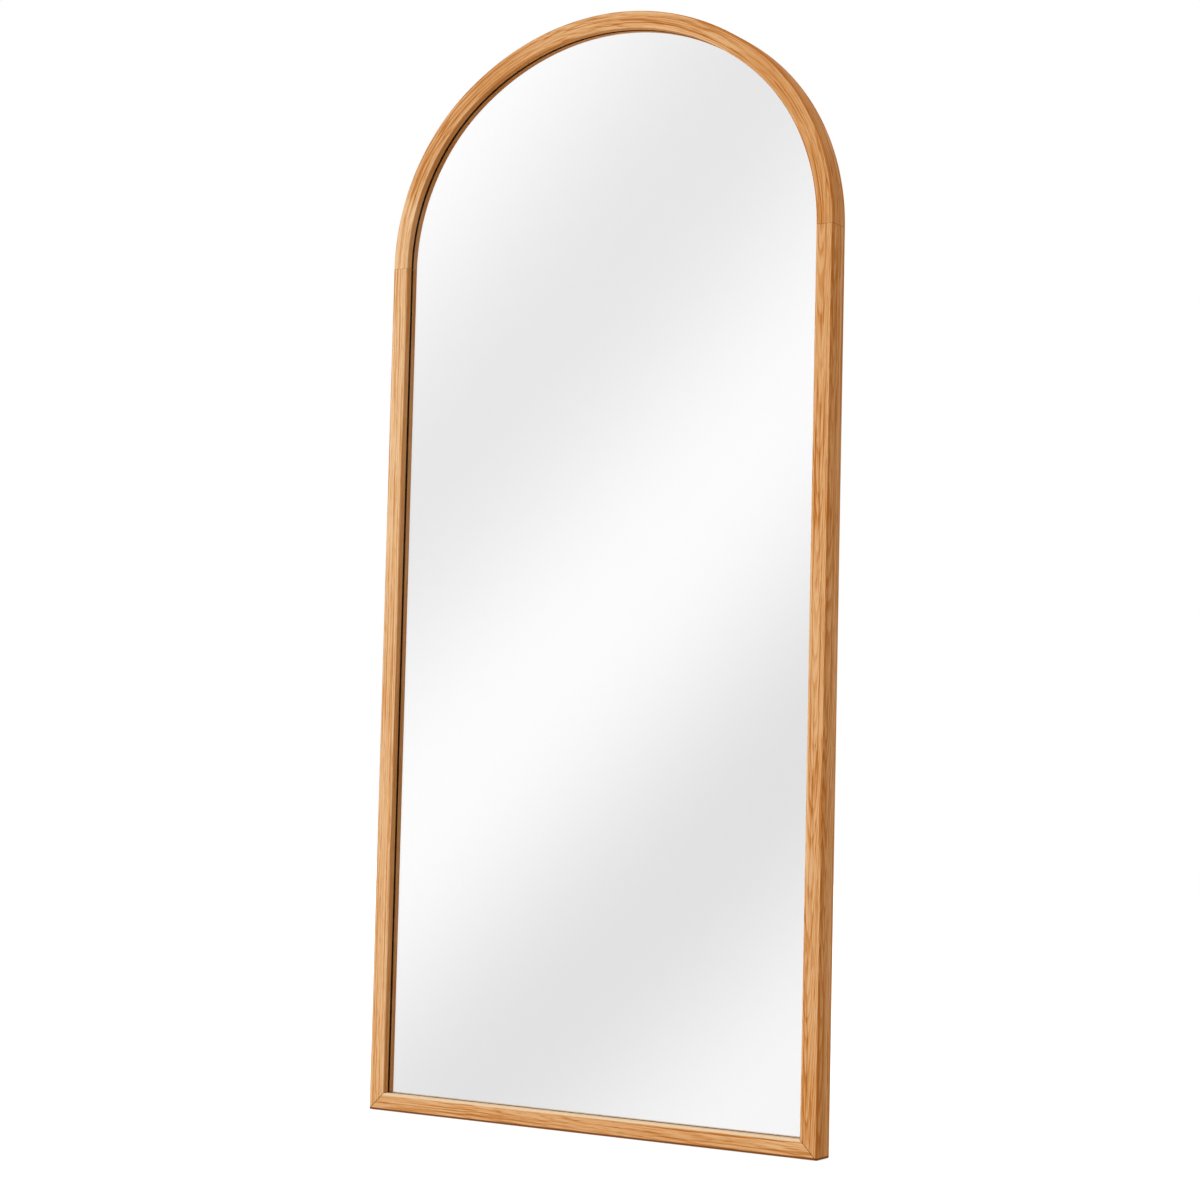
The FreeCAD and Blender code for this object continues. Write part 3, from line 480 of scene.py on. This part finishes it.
# Where a point of the arch lies in the bent board, along it from the crown.
def place_in_arch(co):
    side = 1 if co.x > 0 else -1
    lean = math.atan2(abs(co.x), co.z - crown_centre)
    crown_middle = crown_radius - face_width / 2
    haunch_middle = haunch_radius - face_width / 2
    if lean <= crown_half_angle:
        along = crown_middle * lean
        inset = crown_radius - Vector((co.x, co.z - crown_centre)).length
    else:
        reach = Vector((abs(co.x) - haunch_offset, co.z - springing))
        turn = math.atan2(reach.x, reach.y) - crown_half_angle
        along = crown_middle * crown_half_angle + haunch_middle * turn
        inset = haunch_radius - reach.length
    return (side * along, inset - face_width / 2, co.y)


arch = draw_section("oak_arch_top")
bpy.ops.transform.translate(value=(-half_width, 0, springing))
arc_centres = (
    (-haunch_offset, springing, haunch_angle, 30),
    (0, crown_centre, 2 * crown_half_angle, 44),
    (haunch_offset, springing, haunch_angle, 30),
)
for centre_x, centre_z, angle, steps in arc_centres:
    bpy.ops.mesh.spin(steps=steps, angle=-angle, center=(centre_x, 0, centre_z), axis=(0, 1, 0))
arch_foot = Vector((0, 0, springing + seam_gap / 2))
cut_joint(arch, arch_foot, Vector((0, 0, -1)))
close_piece(arch)
mark_board(arch, place_in_arch, [(arch_foot, Vector((0, 0, -1)), seam_darkness)])
arch_tones = (
    (-0.583, -0.30), (-0.50, -0.36), (-0.44, 0.08), (-0.33, 0.12), (-0.22, 0.26),
    (-0.12, 0.01), (0.21, 0.01), (0.30, 0.31), (0.46, 0.22), (0.583, 0.27)
)
# edge_tone and sight_tone set the painted shade of the arch's sides and lip.
arch_oak = lacquered_oak(
    "arch_oak", arch_tones, board_shift=(0.7, 0.3, 0.1), pith=(0.2, 0.03, 0.04), ring=0.0031,
    taper=0.012, wander=0.010, sway=0.006, figure=1.1, edge_tone=0.75, sight_tone=0.35
)
arch.data.materials.append(arch_oak)
arch.data.materials.append(rebate_stain_and_shade)
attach(arch, "mirror")
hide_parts("arch_top")

# Stiles: two straight lengths of oak with the same section, dowelled to the arch at the springing line.
# Each is mitred at its foot to the bottom rail, glued with a spline across the mitre.
# The right one shows flat-sawn figure on its front, the left one is straight-grained and paler.
stile_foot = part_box("left_stile")[0].z
mitre_gap = 0.0004
mitre_darkness = 1.0
left_corner = Vector((-half_width, 0, stile_foot))
mitre_down = Vector((1, 0, -1)).normalized()
stile_mitre = left_corner - mitre_down * (mitre_gap / 2)
stile_head = Vector((0, 0, springing - seam_gap / 2))

left_stile = draw_section("oak_left_stile")
bpy.ops.transform.translate(value=(-half_width, 0, stile_foot))
bpy.ops.mesh.extrude_region_move(TRANSFORM_OT_translate={"value": (0, 0, springing - stile_foot)})
cut_joint(left_stile, stile_mitre, mitre_down)
cut_joint(left_stile, stile_head, Vector((0, 0, 1)))
close_piece(left_stile)
bpy.ops.object.duplicate()
right_stile = bpy.context.object
right_stile.name = "oak_right_stile"
bpy.ops.object.mode_set(mode="EDIT")
bpy.ops.mesh.select_all(action="SELECT")
bpy.ops.transform.resize(value=(-1, 1, 1), center_override=(0, 0, 0))
close_piece(right_stile)

stile_middle = half_width - face_width / 2
stile_joints = [
    (stile_mitre, mitre_down, mitre_darkness),
    (stile_head, Vector((0, 0, 1)), seam_darkness),
]
mark_board(left_stile, lambda co: (co.z, co.x + stile_middle, co.y), stile_joints)
right_joints = []
for place, outward, darkness in stile_joints:
    other_place = Vector((-place.x, place.y, place.z))
    other_outward = Vector((-outward.x, outward.y, outward.z))
    right_joints.append((other_place, other_outward, darkness))
mark_board(right_stile, lambda co: (co.z, stile_middle - co.x, co.y), right_joints)
left_tones = ((0, -0.07), (0.3, -0.13), (0.6, -0.11), (0.78, -0.15), (1.05, -0.24), (1.353, -0.20))
right_tones = (
    (0, 0.24), (0.12, 0.18), (0.28, 0.05), (0.45, 0.01),
    (0.8, -0.02), (0.93, 0.11), (1.353, 0.12)
)
# edge_tone and sight_tone set the painted shade of each stile's sides and lip.
left_oak = lacquered_oak(
    "left_stile_oak", left_tones, board_shift=(2.1, 0.8, 0.4), pith=(0.4, 0.09, 0.015), ring=0.0044,
    taper=0.004, wander=0.010, sway=0.003, figure=1.1, edge_tone=1, sight_tone=0.35
)
right_oak = lacquered_oak(
    "right_stile_oak", right_tones, board_shift=(4.3, 0.2, 0.6), pith=(0.7, 0.004, -0.012),
    ring=0.0027, taper=-0.05, wander=0.011, sway=0.004, figure=1.1, edge_tone=1, sight_tone=0.35
)
left_stile.data.materials.append(left_oak)
right_stile.data.materials.append(right_oak)
for stile, node in ((left_stile, "left_stile"), (right_stile, "right_stile")):
    stile.data.materials.append(rebate_stain_and_shade)
    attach(stile, "mirror")
    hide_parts(node)

# Bottom rail: the same oak section lying on its outer face, just clear of the floor.
# Both ends are mitred into the stiles, and the joint shows as a fine dark line at each corner.
rail = draw_section("oak_bottom_rail")
bpy.ops.mesh.extrude_region_move(TRANSFORM_OT_translate={"value": (0, 0, 2 * half_width)})
bpy.ops.object.mode_set(mode="OBJECT")
rail.rotation_euler = (0, math.radians(-90), 0)
rail.location = (half_width, 0, stile_foot)
bpy.ops.object.transform_apply(location=True, rotation=True, scale=True)
bpy.ops.object.mode_set(mode="EDIT")
rail_joints = []
for side in (-1, 1):
    outward = Vector((side, 0, 1)).normalized()
    corner = Vector((side * half_width, 0, stile_foot))
    rail_joints.append((corner - outward * (mitre_gap / 2), outward, mitre_darkness))
for place, outward, darkness in rail_joints:
    cut_joint(rail, place, outward)
close_piece(rail)
rail_middle = stile_foot + face_width / 2
mark_board(rail, lambda co: (co.x, co.z - rail_middle, co.y), rail_joints)
rail_tones = ((-0.4, 0.02), (0.05, 0.13), (0.18, 0.07), (0.4, -0.02))
# edge_tone sets the painted shade of the rail's sides, worn its painted sheen.
rail_oak = lacquered_oak(
    "rail_oak", rail_tones, board_shift=(6.4, 0.5, 0.9), pith=(0.1, 0.04, 0.05), ring=0.0036,
    taper=-0.035, wander=0.010, sway=0.004, figure=1.05, edge_tone=1, worn=0.95
)
rail.data.materials.append(rail_oak)
rail.data.materials.append(rebate_stain_and_shade)
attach(rail, "mirror")
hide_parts("bottom_rail")


# Dowels and splines: the hidden keys of the glued joints, fluted beech pins and slips of birch plywood.
# They fill their holes and slots in the oak and can't be seen once the frame is together.
def build_mottle():
    group = bpy.data.node_groups.new("mottle", "ShaderNodeTree")
    sockets = group.interface
    sockets.new_socket("Stretch", in_out="INPUT", socket_type="NodeSocketVector")
    sockets.new_socket("Pale", in_out="INPUT", socket_type="NodeSocketColor")
    sockets.new_socket("Deep", in_out="INPUT", socket_type="NodeSocketColor")
    sockets.new_socket("Color", in_out="OUTPUT", socket_type="NodeSocketColor")
    sockets.new_socket("Height", in_out="OUTPUT", socket_type="NodeSocketFloat")
    given = group.nodes.new("NodeGroupInput")
    result = group.nodes.new("NodeGroupOutput")
    place = group.nodes.new("ShaderNodeTexCoord")
    stretch = group.nodes.new("ShaderNodeVectorMath")
    stretch.operation = "MULTIPLY"
    group.links.new(place.outputs["Object"], stretch.inputs[0])
    group.links.new(given.outputs["Stretch"], stretch.inputs[1])
    noise = group.nodes.new("ShaderNodeTexNoise")
    noise.inputs["Scale"].default_value = 1
    noise.inputs["Detail"].default_value = 4
    noise.inputs["Roughness"].default_value = 0.6
    group.links.new(stretch.outputs["Vector"], noise.inputs["Vector"])
    spread = ease(group, noise.outputs["Fac"], 0.28, 0.72)
    blend = group.nodes.new("ShaderNodeMix")
    blend.data_type = "RGBA"
    group.links.new(spread, blend.inputs["Factor"])
    group.links.new(given.outputs["Deep"], blend.inputs["A"])
    group.links.new(given.outputs["Pale"], blend.inputs["B"])
    group.links.new(blend.outputs["Result"], result.inputs["Color"])
    group.links.new(spread, result.inputs["Height"])
    return group


mottle = build_mottle()


# A plain material with mottled colour and a fine relief, its pattern stretched by axis.
def mottled(name, pale, deep, stretch, roughness, relief, metallic=0.0):
    finish = bpy.data.materials.new(name)
    finish.use_nodes = True
    tree = finish.node_tree
    surface = tree.nodes["Principled BSDF"]
    surface.inputs["Roughness"].default_value = roughness
    surface.inputs["Metallic"].default_value = metallic
    pattern = tree.nodes.new("ShaderNodeGroup")
    pattern.node_tree = mottle
    pattern.inputs["Stretch"].default_value = stretch
    pattern.inputs["Pale"].default_value = (*pale, 1)
    pattern.inputs["Deep"].default_value = (*deep, 1)
    bump = tree.nodes.new("ShaderNodeBump")
    bump.inputs["Strength"].default_value = 0.5
    bump.inputs["Distance"].default_value = relief
    tree.links.new(pattern.outputs["Height"], bump.inputs["Height"])
    tree.links.new(pattern.outputs["Color"], surface.inputs["Base Color"])
    tree.links.new(bump.outputs["Normal"], surface.inputs["Normal"])
    return finish


# Gives a CAD node its finish.
def dress(node, finish):
    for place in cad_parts[node].material_slots:
        place.material = finish


beech = mottled(
    "beech_pin", pale=(0.62, 0.38, 0.21), deep=(0.47, 0.26, 0.13),
    stretch=(900, 900, 40), roughness=0.6, relief=0.00005
)
birch_ply = mottled(
    "birch_slip", pale=(0.72, 0.55, 0.34), deep=(0.56, 0.39, 0.21),
    stretch=(40, 1200, 40), roughness=0.65, relief=0.00005
)
for node in ("left_arch_dowels", "right_arch_dowels"):
    dress(node, beech)
for node in ("left_mitre_spline", "right_mitre_spline"):
    dress(node, birch_ply)

# Mirror glass: a 4 mm pane cut to the arch with its edges ground, silvered on the back.
# It lies in the rebate behind the lip, so the lip shows again in it with a dark gap between.
glass_low, glass_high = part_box("mirror_glass")
glass_arris = 0.0005
facing_back = 0.9
paint_film = 0.00005
pane_back = glass_high.y - paint_film
glass_inset = glass_high.x
bpy.ops.object.select_all(action="DESELECT")
pane_height = springing - glass_low.z
bpy.ops.mesh.primitive_plane_add(
    size=1, location=(0, glass_low.y, glass_low.z + pane_height / 2), rotation=(math.radians(90), 0, 0)
)
pane = bpy.context.object
pane.name = "silvered_pane"
pane.scale = (2 * glass_inset, pane_height, 1)
bpy.ops.object.transform_apply(location=True, rotation=True, scale=True)
bpy.ops.object.mode_set(mode="EDIT")
pick(pane, "EDGE", lambda co: co.z > springing - touching)
bpy.ops.mesh.delete(type="EDGE")
pick(pane, "VERT", lambda co: co.x < 0 and co.z > springing - touching)
for centre_x, centre_z, angle, steps in arc_centres:
    bpy.ops.mesh.spin(steps=steps, angle=-angle, center=(centre_x, 0, centre_z), axis=(0, 1, 0))
bpy.ops.mesh.select_all(action="SELECT")
bpy.ops.mesh.remove_doubles(threshold=touching)
bpy.ops.mesh.select_all(action="SELECT")
bpy.ops.mesh.edge_face_add()
bpy.ops.mesh.extrude_region_move(TRANSFORM_OT_translate={"value": (0, pane_back - glass_low.y, 0)})
for face_y in (glass_low.y, pane_back):
    pick(pane, "EDGE", lambda co: abs(co.y - face_y) < touching)
    bpy.ops.mesh.bevel(offset=glass_arris, segments=1, affect="EDGES")
close_piece(pane)

clear_glass = bpy.data.materials.new("clear_glass")
clear_glass.use_nodes = True
glass_surface = clear_glass.node_tree.nodes["Principled BSDF"]
glass_surface.inputs["Base Color"].default_value = (0.992, 0.994, 0.994, 1)
glass_surface.inputs["Transmission Weight"].default_value = 1
glass_surface.inputs["Roughness"].default_value = 0
glass_surface.inputs["IOR"].default_value = 1.52
silver = bpy.data.materials.new("silvered_back")
silver.use_nodes = True
silver_surface = silver.node_tree.nodes["Principled BSDF"]
silver_surface.inputs["Base Color"].default_value = (0.885, 0.882, 0.886, 1)
silver_surface.inputs["Metallic"].default_value = 1
silver_surface.inputs["Roughness"].default_value = 0
pane.data.materials.append(clear_glass)
pane.data.materials.append(silver)
for face in pane.data.polygons:
    face.material_index = 1 if face.normal.y > facing_back else 0
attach(pane, "mirror")
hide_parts("mirror_glass")

# Spacers and foam: strips of black rubber carry and centre the pane in its rebate.
# A thin sheet of white foam behind it presses it forward against the lip.
black_rubber = mottled(
    "black_rubber", pale=(0.030, 0.029, 0.028), deep=(0.014, 0.014, 0.014),
    stretch=(900, 900, 900), roughness=0.62, relief=0.00008
)
white_foam = mottled(
    "white_foam", pale=(0.82, 0.82, 0.80), deep=(0.66, 0.66, 0.64),
    stretch=(700, 700, 700), roughness=0.9, relief=0.0002
)
dress("glass_spacers", black_rubber)
dress("foam_sheet", white_foam)

# Backing board: raw fibreboard cut to the arch and screwed to the land in the back of the frame.
# The countersunk screws with cross recesses are steel with a bright zinc plating.
fibreboard = mottled(
    "fibreboard", pale=(0.50, 0.33, 0.19), deep=(0.36, 0.225, 0.12),
    stretch=(420, 420, 420), roughness=0.78, relief=0.00012
)
zinc_steel = mottled(
    "zinc_steel", pale=(0.68, 0.69, 0.71), deep=(0.52, 0.53, 0.56),
    stretch=(260, 260, 900), roughness=0.32, relief=0.00003, metallic=1.0
)
dress("backing_board", fibreboard)
dress("backing_screws", zinc_steel)

# Hangers: a folded steel strap with a rolled eye on each stile, held by two round-headed screws.
# A ring of bent wire swings in each eye to hang the mirror on hooks, all zinc-plated.
for side in ("left", "right"):
    for part in ("strap", "ring", "screws"):
        dress(f"{side}_hanger_{part}", zinc_steel)

# Bumpers and pads: moulded rubber buttons keep the back off the wall.
# Thin rubber pads under the bottom rail keep it from sliding on the floor.
dress("wall_bumpers", black_rubber)
dress("floor_pads", black_rubber)

# Studio: a plain white floor that runs out into a white background.
# Soft light comes from the front and above, with more panels low at the front left and behind.
# The mirror reflects a studio wall with broad soft bands of light.
floor_size = 16
floor_grey = (0.5, 0.5, 0.5, 1)
floor_glow = 0.75
bpy.ops.object.select_all(action="DESELECT")
bpy.ops.mesh.primitive_plane_add(size=floor_size)
floor = bpy.context.object
floor.name = "studio_floor"
floor.visible_diffuse = False
floor.visible_glossy = False
floor.visible_transmission = False
floor_paint = bpy.data.materials.new("floor_white")
floor_paint.use_nodes = True
floor_surface = floor_paint.node_tree.nodes["Principled BSDF"]
floor_surface.inputs["Base Color"].default_value = floor_grey
floor_surface.inputs["Roughness"].default_value = 1
floor_surface.inputs["Specular IOR Level"].default_value = 0
floor_surface.inputs["Emission Color"].default_value = (1, 1, 1, 1)
floor_surface.inputs["Emission Strength"].default_value = floor_glow
floor.data.materials.append(floor_paint)

studio = bpy.data.worlds.new("studio")
studio.use_nodes = True
studio.cycles.sampling_method = "NONE"
bpy.context.scene.world = studio
sky = studio.node_tree
sky.nodes.clear()
direction = sky.nodes.new("ShaderNodeTexCoord")
ray = sky.nodes.new("ShaderNodeLightPath")
heading = sky.nodes.new("ShaderNodeSeparateXYZ")
sky.links.new(direction.outputs["Generated"], heading.inputs["Vector"])


# How nearly a direction of the studio points along an axis.
def towards(axis):
    measure = sky.nodes.new("ShaderNodeVectorMath")
    measure.operation = "DOT_PRODUCT"
    sky.links.new(direction.outputs["Generated"], measure.inputs[0])
    measure.inputs[1].default_value = axis
    return measure.outputs["Value"]


# The wall that the glass shows: slanting bands that darken to the right and brighten upwards.
band_axis = (0.7826, -0.0283, -0.6219)
band_bright = -0.4292
band_period = 0.1677
band_swing = 0.1153
wall_level = 0.838
wall_right = -0.3812
wall_up = 0.1979
wall_darkest = 0.8235
turns = reckon(sky, "SUBTRACT", towards(band_axis), band_bright)
wave = reckon(sky, "COSINE", reckon(sky, "MULTIPLY", turns, 2 * math.pi / band_period))
changes = ((wave, band_swing), (heading.outputs["X"], wall_right), (heading.outputs["Z"], wall_up))
bands = reckon(sky, "MAXIMUM", add_shares(sky, wall_level, changes), wall_darkest)

# The light on the part: a soft room that is dimmer below, with broad panels, each with its direction,
# where its soft edge starts and its strength.
# The plain reflection in the front of the glass is held back, as the silvering carries the wall.
room_level = 0.60
room_slopes = (
    (heading.outputs["X"], 0.25),
    (heading.outputs["Y"], -0.19),
    (heading.outputs["Z"], 0.05),
)
below_level = 0.55
below_fade = (-0.5, 0.1)
panel_full = 0.95
panels = (
    ((-0.534, -0.313, 0.785), 0.80, 2.1),
    ((-0.50, -0.45, -0.74), 0.70, 1.5),
    ((0, 0.995, 0.1), 0.70, 0.7),
)
sheen_kept = 0.1
soft_light = add_shares(sky, room_level, room_slopes)
above_floor = ease(sky, heading.outputs["Z"], *below_fade)
dimming = reckon(sky, "MULTIPLY_ADD", above_floor, 1 - below_level, below_level)
soft_light = reckon(sky, "MULTIPLY", soft_light, dimming)
for axis, soft_edge, strength in panels:
    panel = ease(sky, towards(axis), soft_edge, panel_full)
    soft_light = reckon(sky, "MULTIPLY_ADD", panel, strength, soft_light)
first_surface = reckon(sky, "MULTIPLY_ADD", ray.outputs["Is Singular Ray"], sheen_kept - 1, 1.0)
soft_light = reckon(sky, "MULTIPLY", soft_light, first_surface)

chosen = sky.nodes.new("ShaderNodeMix")
chosen.data_type = "FLOAT"
sky.links.new(ray.outputs["Is Transmission Ray"], chosen.inputs["Factor"])
sky.links.new(soft_light, chosen.inputs["A"])
sky.links.new(bands, chosen.inputs["B"])
shown = sky.nodes.new("ShaderNodeMix")
shown.data_type = "FLOAT"
sky.links.new(ray.outputs["Is Camera Ray"], shown.inputs["Factor"])
sky.links.new(chosen.outputs["Result"], shown.inputs["A"])
shown.inputs["B"].default_value = 1
backdrop = sky.nodes.new("ShaderNodeBackground")
backdrop.inputs["Color"].default_value = (1, 1, 1, 1)
sky.links.new(shown.outputs["Result"], backdrop.inputs["Strength"])
output = sky.nodes.new("ShaderNodeOutputWorld")
sky.links.new(backdrop.outputs["Background"], output.inputs["Surface"])
bpy.context.scene.view_settings.view_transform = "Standard"

# Camera: in front, to the right and low, as the picture was taken.
# It has a long lens and is rolled a little.
camera_place = Vector((2.06573, -3.24548, 0.55117))
camera_right = Vector((0.84427, 0.53539, 0.02376))
camera_ahead = Vector((-0.53568, 0.84178, 0.06677))
camera_up = camera_right.cross(camera_ahead)
lens_data = bpy.data.cameras.new("camera")
lens_data.sensor_width = 36
lens_data.lens = 75.327
camera = bpy.data.objects.new("camera", lens_data)
bpy.context.collection.objects.link(camera)
axes = Matrix((camera_right, camera_up, -camera_ahead)).transposed().to_4x4()
camera.matrix_world = Matrix.Translation(camera_place) @ axes
bpy.context.scene.camera = camera
